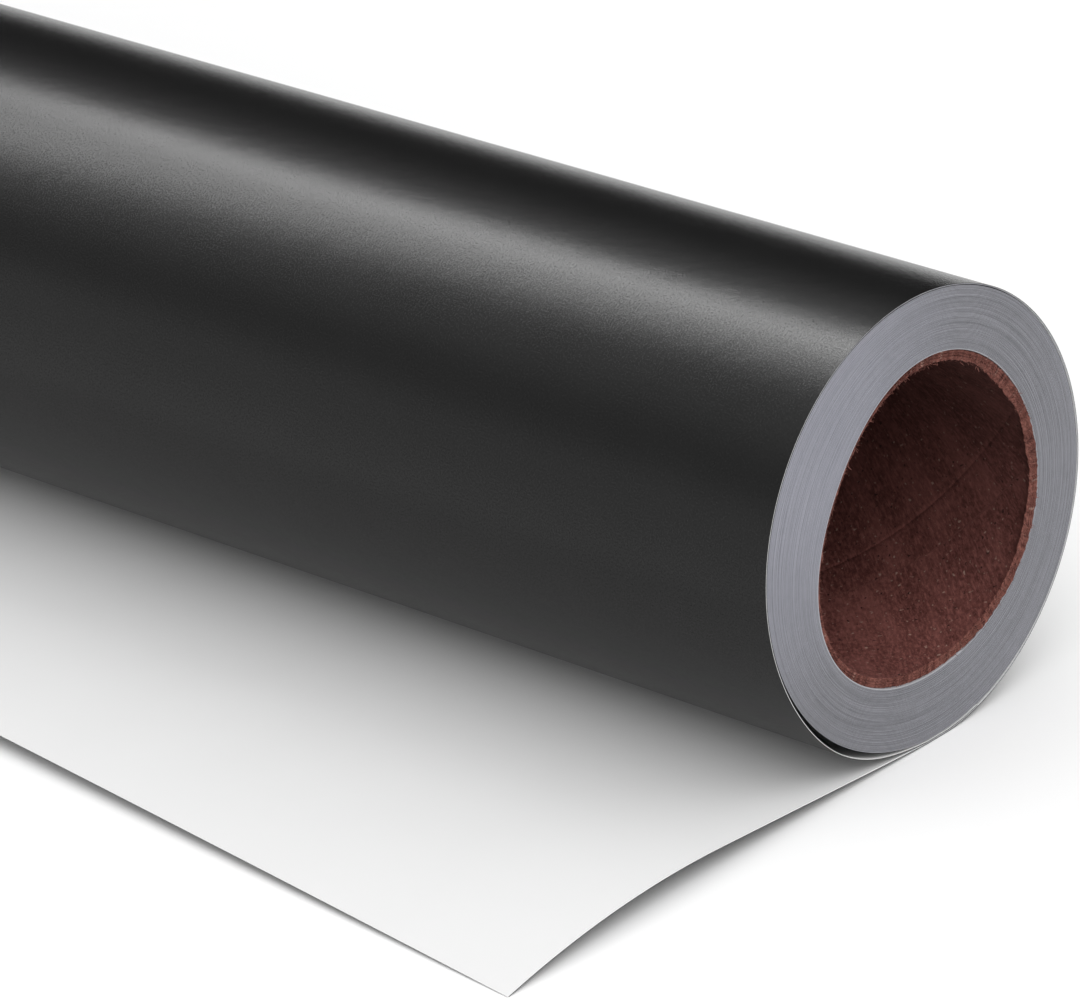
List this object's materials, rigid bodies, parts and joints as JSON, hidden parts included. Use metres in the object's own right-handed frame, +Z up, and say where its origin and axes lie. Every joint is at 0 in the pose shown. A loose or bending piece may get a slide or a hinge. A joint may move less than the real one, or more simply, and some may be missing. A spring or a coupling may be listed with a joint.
{
  "type": "roll of sign vinyl",
  "caption": "Roll of black satin sign vinyl on a paperboard core, with a loose outer wrap and a tail that lies in front with its white release liner up.",
  "frame": {"origin": "on the surface the roll rests on, under the roll's axis, halfway along its length", "axes": "+X along the roll's axis, towards the end where the tail is longest; the tail lies towards -Y; +Z up"},
  "size_m": [0.61, 0.21, 0.1154],
  "materials": {
    "vinyl_film": "satin",
    "release_liner": "matte",
    "wound_web": "matte",
    "core_board": "matte",
    "starting_tape": "matte"
  },
  "bodies": {
    "outer_wrap": {"outer_wrap_film": "vinyl_film", "outer_wrap_liner": "release_liner"},
    "wound_roll": {"wound_pack": "wound_web", "core_start_tape": "starting_tape", "core_inner_ply": "core_board", "core_body_ply": "core_board", "core_outer_ply": "core_board"},
    "tail": {"tail_film": "vinyl_film", "tail_liner": "release_liner"},
    "peeled_liner": {"liner_flap": "release_liner"}
  },
  "joints": [
    {"name": "roll_turn", "type": "hinge", "parent": "outer_wrap", "child": "wound_roll", "pos_m": [0, 0, 0.05786], "axis": [1, 0, 0], "continuous": true},
    {"name": "tail_lift", "type": "hinge", "parent": "outer_wrap", "child": "tail", "pos_m": [0, -0.036, 0.00238], "axis": [-1, 0, 0], "range_deg": [0, 35]},
    {"name": "liner_peel", "type": "hinge", "parent": "tail", "child": "peeled_liner", "pos_m": [0, -0.06798, 0.00478], "axis": [-1, 0, 0], "range_deg": [0, 45]}
  ]
}
